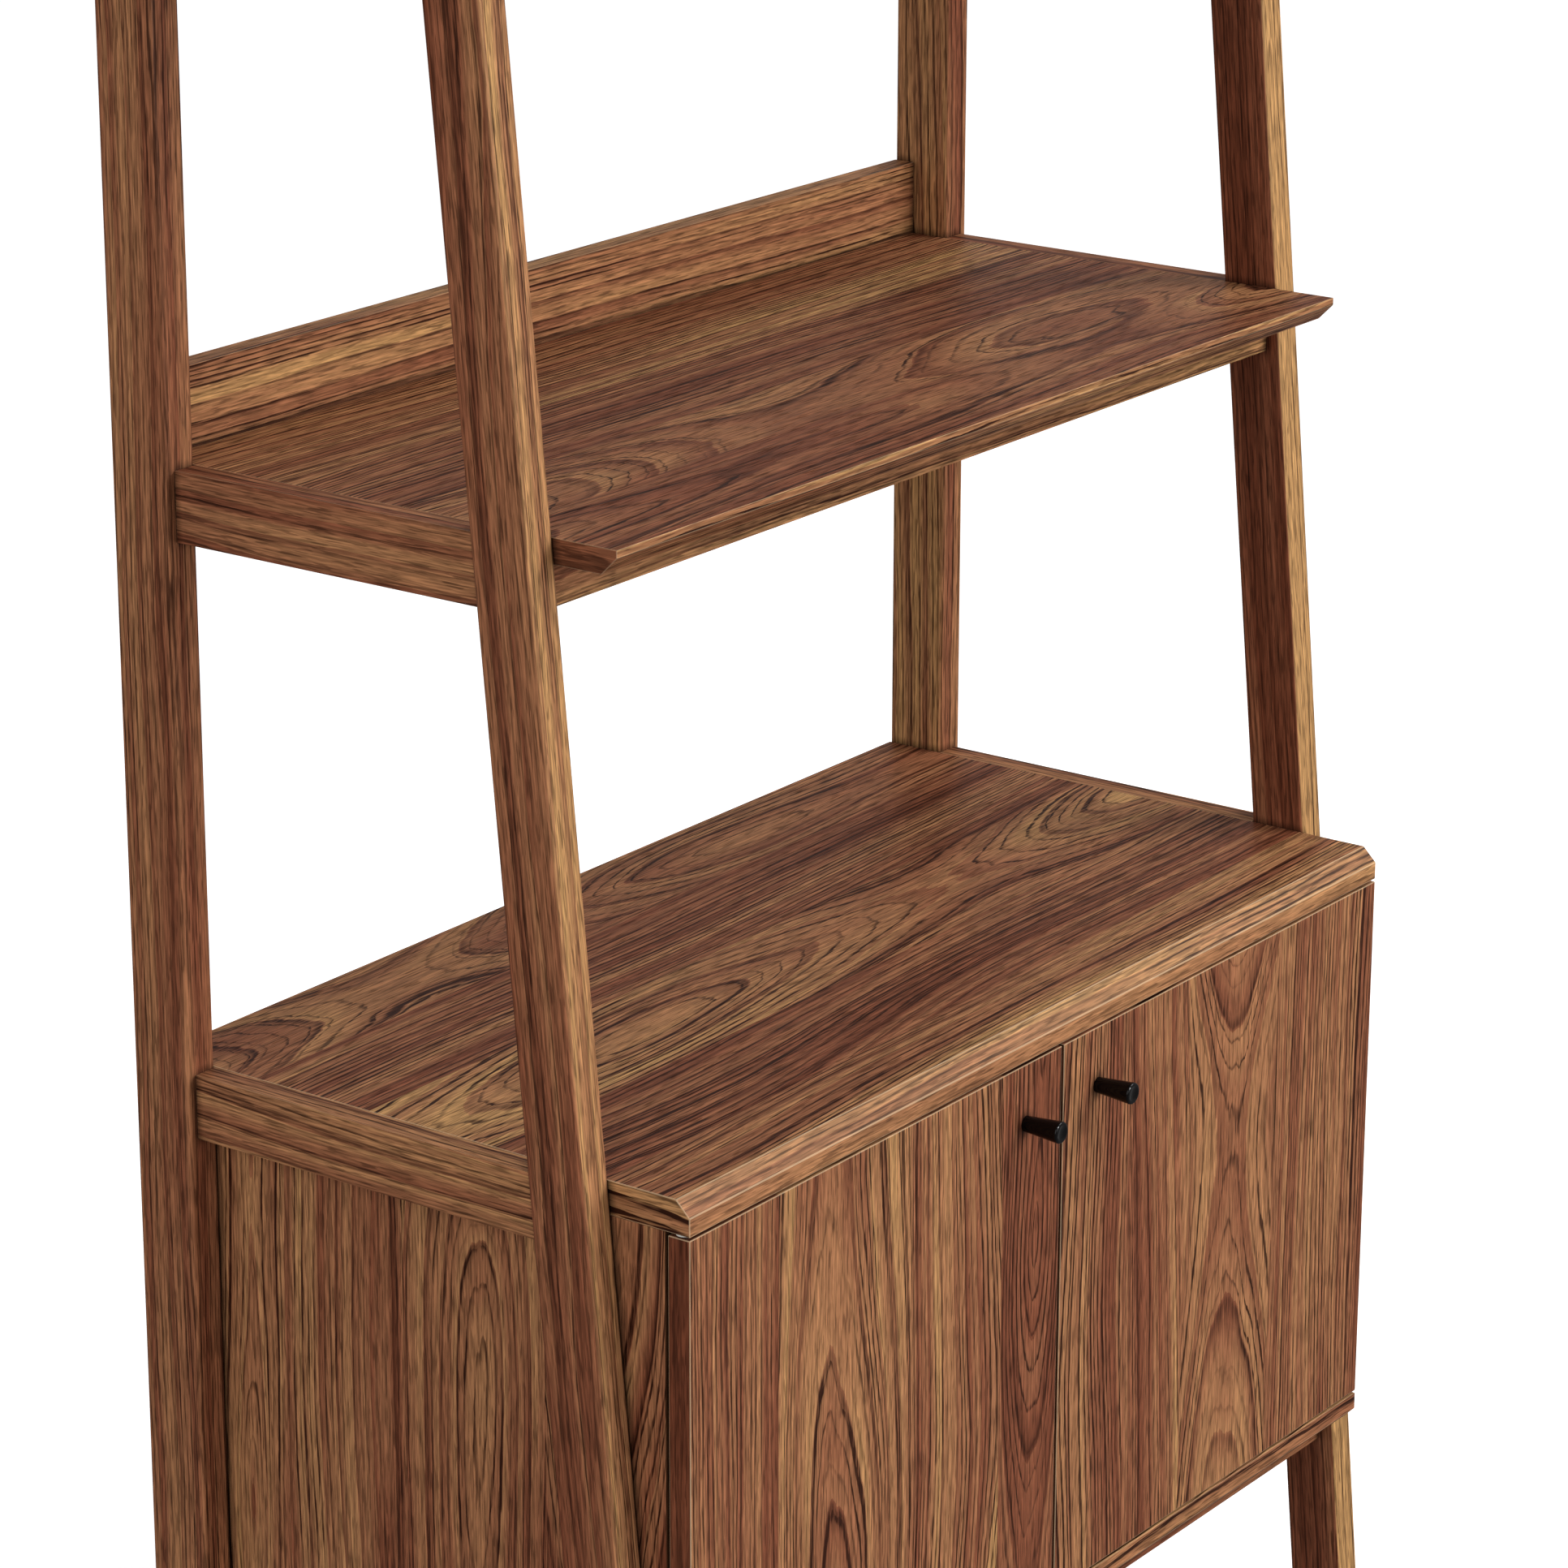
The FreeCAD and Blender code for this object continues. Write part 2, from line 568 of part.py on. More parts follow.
def door(side):
    sign = SIDES[side]
    leaf = block((sign * DOOR_MEETING_GAP / 2, sign * INNER_HALF), (DOOR_REAR_SETBACK, CABINET_DEPTH),
                 door_z_range())
    centre = knob_centre(side)
    screw_hole = rod(centre, Y_AXIS, KNOB_SCREW_HOLE_RADIUS, DOOR_THICKNESS)
    holes = [screw_hole, pivot_pin(sign, 1), pivot_pin(sign, -1), strike_screw(sign, countersunk_hole)]
    return cut_all(leaf, holes)


def knob(side):
    """Tapered turned knob: slim at the door, wide at the free end, with a shallow dished face."""
    centre = knob_centre(side)
    body = Part.makeCone(KNOB_BASE_RADIUS, KNOB_END_RADIUS, KNOB_LENGTH, centre, -Y_AXIS)
    end_rim = [edge for edge in body.Edges if edge.BoundBox.YMax < centre.y - KNOB_LENGTH + 0.01]
    body = body.makeFillet(KNOB_RIM_RADIUS, end_rim)
    ball_radius = (KNOB_DISH_RADIUS ** 2 + KNOB_DISH_DEPTH ** 2) / (2 * KNOB_DISH_DEPTH)
    ball_centre = centre - Y_AXIS * (KNOB_LENGTH - KNOB_DISH_DEPTH + ball_radius)
    body = body.cut(Part.makeSphere(ball_radius, ball_centre))
    return body.cut(rod(centre, -Y_AXIS, KNOB_SCREW_RADIUS, KNOB_SCREW_IN_KNOB + 1))


def knob_screw(side):
    centre = knob_centre(side)
    head_start = centre + Y_AXIS * (DOOR_THICKNESS + KNOB_SCREW_HEAD_HEIGHT)
    head = rod(head_start, -Y_AXIS, KNOB_SCREW_HEAD_RADIUS, KNOB_SCREW_HEAD_HEIGHT)
    outer_rim = [edge for edge in head.Edges if edge.BoundBox.YMin > head_start.y - 0.01]
    head = head.makeFillet(KNOB_SCREW_EDGE_RADIUS, outer_rim)
    shank = rod(head_start, -Y_AXIS, KNOB_SCREW_RADIUS,
                KNOB_SCREW_HEAD_HEIGHT + DOOR_THICKNESS + KNOB_SCREW_IN_KNOB)
    screw = head.fuse(shank).removeSplitter()
    return with_cross_slot(screw, head_start, -Y_AXIS, X_AXIS, KNOB_SCREW_SLOT)


def hinge_bushes():
    """Flanged nylon sleeves in the top and bottom boards, one for each door pin."""
    bushes = []
    for sign in SIDES.values():
        for face_z, way in ((TOP_UNDER_Z, 1), (BOTTOM_TOP_Z, -1)):
            centre = Vector(sign * PIVOT_X, y_at(PIVOT_SETBACK), face_z)
            sleeve = rod(centre, Z_AXIS * way, BUSH_RADIUS, BUSH_DEPTH)
            flange = rod(centre, Z_AXIS * -way, BUSH_FLANGE_RADIUS, BUSH_FLANGE_THICKNESS)
            bore = rod(centre - Z_AXIS * way * BUSH_FLANGE_THICKNESS, Z_AXIS * way, BUSH_BORE_RADIUS,
                       BUSH_DEPTH + BUSH_FLANGE_THICKNESS)
            bushes.append(sleeve.fuse(flange).removeSplitter().cut(bore))
    return Part.makeCompound(bushes)


# ---------------------------------------------------------------- magnetic catch
def catch_screw(x, make=countersunk_screw):
    middle = (CATCH_REAR_SETBACK + CATCH_FRONT_SETBACK) / 2
    start = Vector(x, y_at(middle), TOP_UNDER_Z - CATCH_EAR_HEIGHT)
    return make(start, Z_AXIS, *CATCH_SCREW)


def catch_magnets():
    magnets = []
    for sign in SIDES.values():
        x = sign * STRIKE_FROM_CENTRE
        magnets.append(block((x - MAGNET_WIDTH / 2, x + MAGNET_WIDTH / 2),
                             (CATCH_FRONT_SETBACK + MAGNET_PROUD - MAGNET_DEPTH,
                              CATCH_FRONT_SETBACK + MAGNET_PROUD),
                             (TOP_UNDER_Z - CATCH_HEIGHT / 2 - MAGNET_HEIGHT / 2,
                              TOP_UNDER_Z - CATCH_HEIGHT / 2 + MAGNET_HEIGHT / 2)))
    return Part.makeCompound(magnets)


def catch_housing():
    setbacks = (CATCH_REAR_SETBACK, CATCH_FRONT_SETBACK)
    body = block((-CATCH_BODY_LENGTH / 2, CATCH_BODY_LENGTH / 2), setbacks,
                 (TOP_UNDER_Z - CATCH_HEIGHT, TOP_UNDER_Z))
    lower_edges = [edge for edge in body.Edges if edge.BoundBox.ZMax < TOP_UNDER_Z - CATCH_HEIGHT + 0.01]
    body = body.makeFillet(CATCH_EDGE_RADIUS, lower_edges)
    ears = block((-CATCH_LENGTH / 2, CATCH_LENGTH / 2), setbacks,
                 (TOP_UNDER_Z - CATCH_EAR_HEIGHT, TOP_UNDER_Z))
    housing = body.fuse(ears).removeSplitter()
    return cut_all(housing, [catch_magnets()] + [catch_screw(x, countersunk_hole) for x in CATCH_SCREW_XS])


# ---------------------------------------------------------------- wall brackets
def bracket_screw(x, setback, make=countersunk_screw):
    start = Vector(x, y_at(setback), BRACKET_TOP_Z - BRACKET_THICKNESS)
    return make(start, Z_AXIS, *BRACKET_SCREW)


def wall_bracket(x):
    """Steel angle under the top shelf; two holes in its rear flange take the wall screws."""
    across = (x - BRACKET_WIDTH / 2, x + BRACKET_WIDTH / 2)
    flat = block(across, (0, BRACKET_REACH), (BRACKET_TOP_Z - BRACKET_THICKNESS, BRACKET_TOP_Z))
    drop = block(across, (0, BRACKET_THICKNESS), (BRACKET_TOP_Z - BRACKET_DROP, BRACKET_TOP_Z))
    angle = flat.fuse(drop).removeSplitter()
    holes = [bracket_screw(x, setback, countersunk_hole) for setback in BRACKET_SCREW_SETBACKS]
    for offset in (-BRACKET_HOLE_SPACING / 2, BRACKET_HOLE_SPACING / 2):
        centre = Vector(x + offset, REAR_Y, BRACKET_TOP_Z - BRACKET_HOLE_DROP)
        holes.append(rod(centre, -Y_AXIS, BRACKET_HOLE_RADIUS, BRACKET_THICKNESS))
    return cut_all(angle, holes)


# ---------------------------------------------------------------- fastener groups
def rail_dowels():
    return Part.makeCompound([centred_rod(centre, Y_AXIS, DOWEL_RADIUS, DOWEL_LENGTH)
                              for side in SIDES for centre in rail_dowel_centres(side)])


def lip_dowels():
    return Part.makeCompound([centred_rod(centre, X_AXIS, SMALL_DOWEL_RADIUS, SMALL_DOWEL_LENGTH)
                              for side in SIDES for name in OPEN_SHELVES
                              for centre in lip_dowel_centres(side, name)])


def apron_dowels():
    return Part.makeCompound([centred_rod(centre, Z_AXIS, SMALL_DOWEL_RADIUS, SMALL_DOWEL_LENGTH)
                              for name in OPEN_SHELVES + ("cabinet_bottom",)
                              for centre in apron_dowel_centres(name)])


def cam_locks():
    cams = []
    for name in BOARD_UNDERSIDES:
        for point in board_cam_points(name):
            sign, setback, under = point
            disc = board_cam(point).cut(board_cam_bolt(point, END_CLEARANCE))
            face = Vector(sign * (INNER_HALF - CAM_FROM_END), y_at(setback), under)
            cams.append(with_cross_slot(disc, face, Z_AXIS, X_AXIS, CAM_SLOT))
    for sign in SIDES.values():
        for point in panel_cam_points(sign):
            disc = panel_cam(point).cut(panel_cam_bolt(point, END_CLEARANCE))
            face = Vector(sign * PANEL_INNER, y_at(point[1]), point[2] - point[3] * CAM_FROM_END)
            cams.append(with_cross_slot(disc, face, X_AXIS * sign, Y_AXIS, CAM_SLOT))
    return Part.makeCompound(cams)


def cam_bolts():
    bolts = [board_cam_bolt(point) for name in BOARD_UNDERSIDES for point in board_cam_points(name)]
    bolts += [panel_cam_bolt(point) for sign in SIDES.values() for point in panel_cam_points(sign)]
    return Part.makeCompound(bolts)


# ---------------------------------------------------------------- export
def all_nodes():
    nodes = {}
    for side in SIDES:
        sign = SIDES[side]
        nodes["rear_post_" + side] = rear_post(side)
        nodes["front_leg_" + side] = front_leg(side)
        for level in RAIL_LEVELS:
            nodes["side_rail_" + level + "_" + side] = side_rail(side, level)
        nodes["cabinet_side_" + side] = cabinet_side(side)
        nodes["door_" + side] = door(side)
        nodes["knob_" + side] = knob(side)
        nodes["knob_screw_" + side] = knob_screw(side)
        nodes["hinge_pins_" + side] = Part.makeCompound([pivot_pin(sign, 1), pivot_pin(sign, -1)])
        nodes["strike_plate_" + side] = strike_plate(side)
        nodes["strike_screw_" + side] = strike_screw(sign)
    for name in OPEN_SHELVES:
        nodes["shelf_board_" + name] = shelf_board(name)
        nodes["back_lip_" + name] = back_lip(name)
        nodes["front_apron_" + name] = front_apron(name)
    nodes["cabinet_top_board"] = cabinet_top_board()
    nodes["cabinet_bottom_board"] = cabinet_bottom_board()
    nodes["cabinet_front_apron"] = front_apron("cabinet_bottom")
    nodes["cabinet_back_panel"] = cabinet_back_panel()
    nodes["cabinet_inner_shelf"] = cabinet_inner_shelf()
    nodes["shelf_support_pins"] = shelf_support_pins()
    nodes["foot_glides"] = Part.makeCompound([foot_glide(side, setback) for side in SIDES
                                              for setback in (REAR_GLIDE_SETBACK, FRONT_GLIDE_SETBACK)])
    nodes["hinge_bushes"] = hinge_bushes()
    nodes["catch_housing"] = catch_housing()
    nodes["catch_magnets"] = catch_magnets()
    nodes["catch_screws"] = Part.makeCompound([catch_screw(x) for x in CATCH_SCREW_XS])
    nodes["wall_bracket_left"] = wall_bracket(BRACKET_XS[0])
    nodes["wall_bracket_right"] = wall_bracket(BRACKET_XS[1])
    nodes["bracket_screws"] = Part.makeCompound([bracket_screw(x, setback) for x in BRACKET_XS
                                                 for setback in BRACKET_SCREW_SETBACKS])
    nodes["carcass_screws"] = Part.makeCompound([carcass_screw(sign, setback) for sign in SIDES.values()
                                                 for setback in CARCASS_SCREW_SETBACKS])
    nodes["back_panel_screws"] = Part.makeCompound([back_screw(sign, height) for sign in SIDES.values()
                                                    for height in BACK_SCREW_HEIGHTS])
    nodes["rail_dowels"] = rail_dowels()
    nodes["lip_dowels"] = lip_dowels()
    nodes["apron_dowels"] = apron_dowels()
    nodes["cam_locks"] = cam_locks()
    nodes["cam_bolts"] = cam_bolts()
    return nodes


os.makedirs("parts", exist_ok=True)
for node_name, shape in all_nodes().items():
    shape.exportStep("parts/" + node_name + ".step")
    print(node_name, len(shape.Solids), round(shape.Volume), shape.isValid())
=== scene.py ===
"""A leaning ladder shelf in walnut laminate, with a two-door cabinet.

Gives the CAD's pieces their materials and softened corners, and adds the floor, light and camera."""

import random

import bpy
from mathutils import Matrix, Vector


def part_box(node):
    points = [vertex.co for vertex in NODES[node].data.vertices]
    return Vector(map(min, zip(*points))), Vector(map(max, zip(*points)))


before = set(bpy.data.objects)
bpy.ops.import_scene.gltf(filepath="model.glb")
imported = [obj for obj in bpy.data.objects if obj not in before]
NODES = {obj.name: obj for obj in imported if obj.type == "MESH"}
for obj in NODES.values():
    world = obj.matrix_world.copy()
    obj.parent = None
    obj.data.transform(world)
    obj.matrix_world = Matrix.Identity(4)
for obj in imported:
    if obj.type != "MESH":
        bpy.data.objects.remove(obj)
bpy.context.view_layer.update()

AXES = "XYZ"
LEG_LEAN = 0.0931  # how far a front leg moves back for each metre of height
LEG_DEPTH = 0.0415


def rgb(red, green, blue):
    """A screen colour, 0 to 255 a channel, as the linear colour that a shader takes."""
    channels = [c / 255 for c in (red, green, blue)]
    linear = [c / 12.92 if c <= 0.04045 else ((c + 0.055) / 1.055) ** 2.4 for c in channels]
    return (*linear, 1.0)


class Tree:
    """Short calls that add nodes to a node tree and link them.

    Their arguments are outputs to link, or numbers, colours or vectors to set."""

    def __init__(self, tree):
        self.tree = tree

    def add(self, kind, **settings):
        node = self.tree.nodes.new(kind)
        for name, value in settings.items():
            setattr(node, name, value)
        return node

    def put(self, socket, value):
        if isinstance(value, bpy.types.NodeSocket):
            self.tree.links.new(value, socket)
        else:
            socket.default_value = value

    def math(self, operation, *values, clamp=False):
        node = self.add("ShaderNodeMath", operation=operation, use_clamp=clamp)
        for socket, value in zip(node.inputs, values):
            self.put(socket, value)
        return node.outputs[0]

    def plus(self, a, b):
        return self.math("ADD", a, b)

    def minus(self, a, b):
        return self.math("SUBTRACT", a, b)

    def times(self, a, b, clamp=False):
        return self.math("MULTIPLY", a, b, clamp=clamp)

    def join(self, x, y, z):
        node = self.add("ShaderNodeCombineXYZ")
        for socket, value in zip(node.inputs, (x, y, z)):
            self.put(socket, value)
        return node.outputs[0]

    def split(self, vector):
        node = self.add("ShaderNodeSeparateXYZ")
        self.put(node.inputs[0], vector)
        return node.outputs

    def place(self):
        """The point's coordinates in the object."""
        return self.add("ShaderNodeTexCoord").outputs["Object"]

    def facing(self, axis):
        """How far the surface faces along an axis of the object, from -1 to 1."""
        normal = self.add("ShaderNodeTexCoord").outputs["Normal"]
        return self.split(normal)[AXES.index(axis)]

    def noise(self, vector, scale=1.0, detail=2.0, roughness=0.5):
        node = self.add("ShaderNodeTexNoise", noise_dimensions="3D")
        self.put(node.inputs["Vector"], vector)
        node.inputs["Scale"].default_value = scale
        node.inputs["Detail"].default_value = detail
        node.inputs["Roughness"].default_value = roughness
        return node.outputs["Fac"]

    def swing(self, noise, amount):
        """Noise moved to lie about zero, from -amount/2 to amount/2."""
        return self.times(self.minus(noise, 0.5), amount)

    def random(self, value):
        """A random number from 0 to 1 for each value."""
        node = self.add("ShaderNodeTexWhiteNoise", noise_dimensions="1D")
        self.put(node.inputs["W"], value)
        return node.outputs["Value"]

    def step(self, value, low, high):
        """0 below low, 1 above high, smooth between."""
        node = self.add("ShaderNodeMapRange", interpolation_type="SMOOTHSTEP")
        self.put(node.inputs["Value"], value)
        self.put(node.inputs["From Min"], low)
        self.put(node.inputs["From Max"], high)
        return node.outputs["Result"]

    def change(self, value, low, high, start, end):
        """start where value is below low, end where it is above high, smooth between."""
        return self.plus(start, self.times(self.step(value, low, high), end - start))

    def ramp(self, value, stops, interpolation="LINEAR"):
        node = self.add("ShaderNodeValToRGB")
        self.put(node.inputs["Fac"], value)
        node.color_ramp.interpolation = interpolation
        elements = node.color_ramp.elements
        while len(elements) < len(stops):
            elements.new(0.5)
        while len(elements) > len(stops):
            elements.remove(elements[-1])
        for element, (place, colour) in zip(elements, stops):
            element.position = place
            element.color = colour
        return node.outputs["Color"]

    def mix(self, factor, a, b, blend="MIX"):
        node = self.add("ShaderNodeMix", data_type="RGBA", blend_type=blend)
        self.put(node.inputs["Factor"], factor)
        self.put(node.inputs["A"], a)
        self.put(node.inputs["B"], b)
        return node.outputs["Result"]

    def shade(self, colour, value):
        """The colour made darker or lighter by a factor."""
        return self.mix(1.0, colour, self.join(value, value, value), "MULTIPLY")

    def bump(self, height, strength, distance):
        node = self.add("ShaderNodeBump")
        node.inputs["Strength"].default_value = strength
        node.inputs["Distance"].default_value = distance
        self.put(node.inputs["Height"], height)
        return node.outputs["Normal"]


def new_material(name):
    """A material, the tree to build it in and the inputs of its shader."""
    material = bpy.data.materials.new(name)
    material.use_nodes = True
    inputs = material.node_tree.nodes["Principled BSDF"].inputs
    return material, Tree(material.node_tree), inputs


# ---- walnut ----------------------------------------------------------------

GOLD = rgb(187, 142, 92)
TAN = rgb(171, 121, 82)
BROWN = rgb(153, 101, 70)
PURPLE = rgb(134, 80, 56)
UMBER = rgb(106, 58, 39)
WOOD_TONES = ((0.0, UMBER), (0.3, PURPLE), (0.52, BROWN), (0.75, TAN), (1.0, GOLD))
RING_LINE = rgb(50, 24, 14)
PORE = rgb(44, 20, 11)
# the colour of the painted highlight on rounded corners
PAINTED_HIGHLIGHT = rgb(236, 204, 164)
# the colour of the painted sheen on a chamfer at the front
PAINTED_SHEEN = rgb(214, 182, 152)

BOLD_RINGS = 0.0121  # metres from one line of late wood to the next
FINE_RINGS = 0.0039
FULL_LINE = 0.85  # of the numbers from 0 to 1 that rings draw
LATEST_LINE = 0.8  # where a line starts over the heart, as a share of its ring
LINE_RISE = 0.13  # the share of a ring over which its line darkens
LINE_FALL = 0.95  # where it starts to end
TINY = 0.001  # keeps a distance that is divided by away from 0
KEY_STEP = 7.13  # between the grain's random places on two parts
KEY_SPREAD = 61.0  # and between two veneers of a part whose hearts lie a metre apart
WALNUT_GLOSS = 0.05  # the print is matt
PAINTED_SHADE_REACH = 0.006  # how far in metres the painted shade of a joint or gap reaches out of it
# how strongly the painted shade darkens the colour
PAINTED_SHADE_POWER = 1.5


def new_socket(tree, name, kind="NodeSocketFloat", way="INPUT"):
    tree.interface.new_socket(name=name, in_out=way, socket_type=kind)


def walnut_group():
    """Colour, height and gloss of a walnut print. Its vector has the grain along X, in metres.

    Heart is where the log's centre line passes across the grain, and Depth how far below the face it
    lies. Tone is the veneer's lightness, Key picks its own grain, Figure is how far the centre line
    wanders, and Lines how dark the lines of late wood are."""
    tree = bpy.data.node_groups.new("walnut_print", "ShaderNodeTree")
    new_socket(tree, "Vector", "NodeSocketVector")
    for name in ("Heart", "Depth", "Tone", "Key", "Figure", "Lines"):
        new_socket(tree, name)
    new_socket(tree, "Color", "NodeSocketColor", "OUTPUT")
    for name in ("Height", "Gloss"):
        new_socket(tree, name, way="OUTPUT")
    t = Tree(tree)
    given = t.add("NodeGroupInput").outputs
    key, figure = given["Key"], given["Figure"]
    u, v, w = t.split(given["Vector"])

    def drift(along, across, detail, offset, amount):
        """A slow change, from -amount/2 to amount/2. along and across are in waves a metre."""
        place = t.join(t.times(u, along), t.times(v, across), t.plus(key, offset))
        return t.swing(t.noise(place, detail=detail), amount)

    def streaks(along, across, detail=2.0, roughness=0.5):
        """Noise drawn out along the grain, in waves a metre."""
        place = t.join(t.times(u, along), t.times(v, across), t.times(w, across))
        return t.noise(place, detail=detail, roughness=roughness)

    # The distance from the log's heart, which wanders beside and below the cut, gives the rings.
    bend = t.times(drift(along=1.1, across=5.0, detail=2.0, offset=0.0, amount=0.06), figure)
    aside = t.plus(t.minus(v, given["Heart"]), bend)
    rise = t.times(drift(along=1.25, across=0.0, detail=1.0, offset=5.0, amount=0.24), figure)
    depth = t.plus(t.plus(given["Depth"], w), rise)
    radius = t.math("SQRT", t.plus(t.times(aside, aside), t.times(depth, depth)))
    # 0 where the face cuts the rings flat, over the heart, and 1 where it cuts them upright
    steep = t.math("DIVIDE", t.math("ABSOLUTE", aside), t.plus(radius, TINY))
    radius = t.plus(radius, drift(along=4.2, across=34.0, detail=3.0, offset=2.0, amount=0.009))
    # Good and bad years make the rings wide and narrow.
    season = t.noise(t.join(t.times(radius, 55.0), key, t.times(u, 0.7)), detail=1.0)
    radius = t.plus(radius, t.swing(season, 0.009))
    frayed = t.plus(radius, t.swing(streaks(along=60.0, across=420.0), 0.0008))

    # Tone changes from ring to ring, and darkens outwards across each ring.
    band_place = t.join(t.times(radius, 46.0), t.times(u, 1.1), key)
    band = t.swing(t.noise(band_place, detail=3.0, roughness=0.62), 1.6)
    turning = t.math("FRACT", t.math("DIVIDE", frayed, BOLD_RINGS))
    darkening = t.times(t.minus(0.4, t.times(turning, turning)), 0.3)
    tone = t.plus(t.plus(band, darkening), given["Tone"])
    tone = t.plus(tone, drift(along=3.0, across=24.0, detail=2.0, offset=3.0, amount=0.6))
    colour = t.ramp(tone, WOOD_TONES)

    def rings(spacing, start, tail, least, offset):
        """Dark late wood ends each ring, from start of its width, with a paler tail before it.

        Over the heart the rings are wide, so their lines start later and stay thin. Each ring draws
        a number. Its line is full above FULL_LINE, weaker below it, and missing below least."""
        count = t.math("DIVIDE", frayed, spacing)
        ring = t.plus(t.math("FLOOR", count), t.plus(key, offset))
        strength = t.step(t.random(ring), low=least, high=FULL_LINE)
        turn = t.math("FRACT", count)
        begin = t.change(steep, low=0.1, high=0.85, start=LATEST_LINE, end=start)
        line = t.step(turn, low=begin, high=t.plus(begin, LINE_RISE))
        line = t.plus(line, t.times(t.math("POWER", turn, 3.0), tail))
        line = t.times(line, t.minus(1.0, t.step(turn, low=LINE_FALL, high=1.0)))
        return t.times(line, strength)

    bold_lines = rings(BOLD_RINGS, start=0.8, tail=0.3, least=0.0, offset=0.31)
    fine_lines = t.times(rings(FINE_RINGS, start=0.6, tail=0.1, least=-0.3, offset=0.77), 1.15)
    # They are broken into dashes, fade in places, and are fainter over the heart.
    dash = streaks(along=24.0, across=600.0, roughness=0.6)
    broken = t.change(dash, low=0.36, high=0.56, start=0.4, end=1.1)
    patches = drift(along=5.0, across=30.0, detail=1.0, offset=9.0, amount=1.0)
    fade = t.change(patches, low=-0.2, high=0.1, start=0.5, end=1.1)
    lines = t.times(t.plus(bold_lines, fine_lines), broken)
    lines = t.times(lines, t.change(steep, low=0.05, high=0.4, start=0.62, end=1.0))
    lines = t.times(lines, t.times(fade, given["Lines"]), clamp=True)
    colour = t.mix(lines, colour, RING_LINE)

    # Fibres, hairs of light wood and open pores run along the grain.
    fibre = streaks(along=17.0, across=430.0, detail=3.0, roughness=0.7)
    colour = t.shade(colour, t.plus(0.34, t.times(fibre, 1.4)))
    hair = t.change(streaks(along=44.0, across=760.0), low=0.36, high=0.6, start=1.3, end=0.84)
    colour = t.shade(colour, hair)
    pore = t.step(streaks(along=40.0, across=680.0), low=0.54, high=0.62)
    colour = t.mix(t.times(pore, 0.5), colour, PORE)

    hollows = t.plus(t.times(pore, 0.8), t.times(lines, 0.3))
    made = t.add("NodeGroupOutput").inputs
    t.put(made["Color"], colour)
    t.put(made["Height"], t.minus(t.times(fibre, 0.4), hollows))
    t.put(made["Gloss"], t.plus(0.38, t.plus(t.times(fibre, 0.16), t.times(pore, 0.14))))
    return tree


WALNUT = walnut_group()

# A colour ramp lays the veneers out, and holds numbers from 0 to 1. So it holds their hearts, which
# lie from one reach before the board to one past it, and their depths as shares of those ranges.
HEART_LOW, HEART_SPAN = -1.0, 3.0
DEEPEST = 0.2
FAR_HEARTS = (-0.9, 1.9)
END_GRAIN = 0.8  # a face turned this far towards the grain shows its end
BROAD = 0.15  # boards wider than this, in metres, have several veneers side by side


def grain_vector(t, grain, flat, lean, bottom):
    """The point's place along the grain, across it and into the board, and its place across alone.

    On a face that shows the grain's end, the print runs across the face instead."""
    x, y, z = t.split(t.place())
    if lean:
        y = t.minus(y, t.times(z, lean))
    named = {"X": x, "Y": y, "Z": z}
    thick = (set(AXES) - {grain, flat}).pop()
    u, v, w = named[grain], named[flat], t.minus(named[thick], bottom)
    end = t.math("GREATER_THAN", t.math("ABSOLUTE", t.facing(grain)), END_GRAIN)
    node = t.add("ShaderNodeMix", data_type="VECTOR")
    t.put(node.inputs[0], end)
    first, second = [s for s in node.inputs if s.type == "VECTOR" and s.name in "AB"]
    t.put(first, t.join(u, v, w))
    t.put(second, t.join(v, u, w))
    return next(s for s in node.outputs if s.type == "VECTOR"), v


def laid_veneers(t, across, reach, strips):
    """Heart in metres, depth in metres and tone of the veneer at a place across the grain."""
    start, length = reach[0], reach[1] - reach[0]
    total, place, stops = sum(strip[0] for strip in strips), 0.0, []
    for width, heart, depth, tone in strips:
        stops.append((place, ((heart - HEART_LOW) / HEART_SPAN, depth / DEEPEST, tone, 1)))
        place += width / total
    share = t.math("DIVIDE", t.minus(across, start), length)
    heart, depth, tone = t.split(t.ramp(share, stops, "CONSTANT"))
    heart = t.plus(t.times(t.plus(t.times(heart, HEART_SPAN), HEART_LOW), length), start)
    return heart, t.times(depth, DEEPEST), tone


def paint_crevice_shade(t, colour):
    """Paints shade into the colour in joints and gaps, where light hardly enters, except onto edges
    that face up.
    """
    node = t.add("ShaderNodeAmbientOcclusion", samples=4)
    node.inputs["Distance"].default_value = PAINTED_SHADE_REACH
    dark = t.shade(colour, t.math("POWER", node.outputs["AO"], PAINTED_SHADE_POWER))
    elsewhere = t.minus(1.0, t.step(t.facing("Z"), low=0.35, high=0.6))
    return t.mix(elsewhere, colour, dark)


def chamfer_haze(t, colour, haze):
    """Paints a pale sheen on a chamfer where it faces forwards and up."""
    sloping = t.times(t.times(t.facing("Z"), t.facing("Y")), -2.0)  # 1 at 45 degrees
    return t.mix(t.times(t.step(sloping, low=0.6, high=0.8), haze), colour, PAINTED_SHEEN)


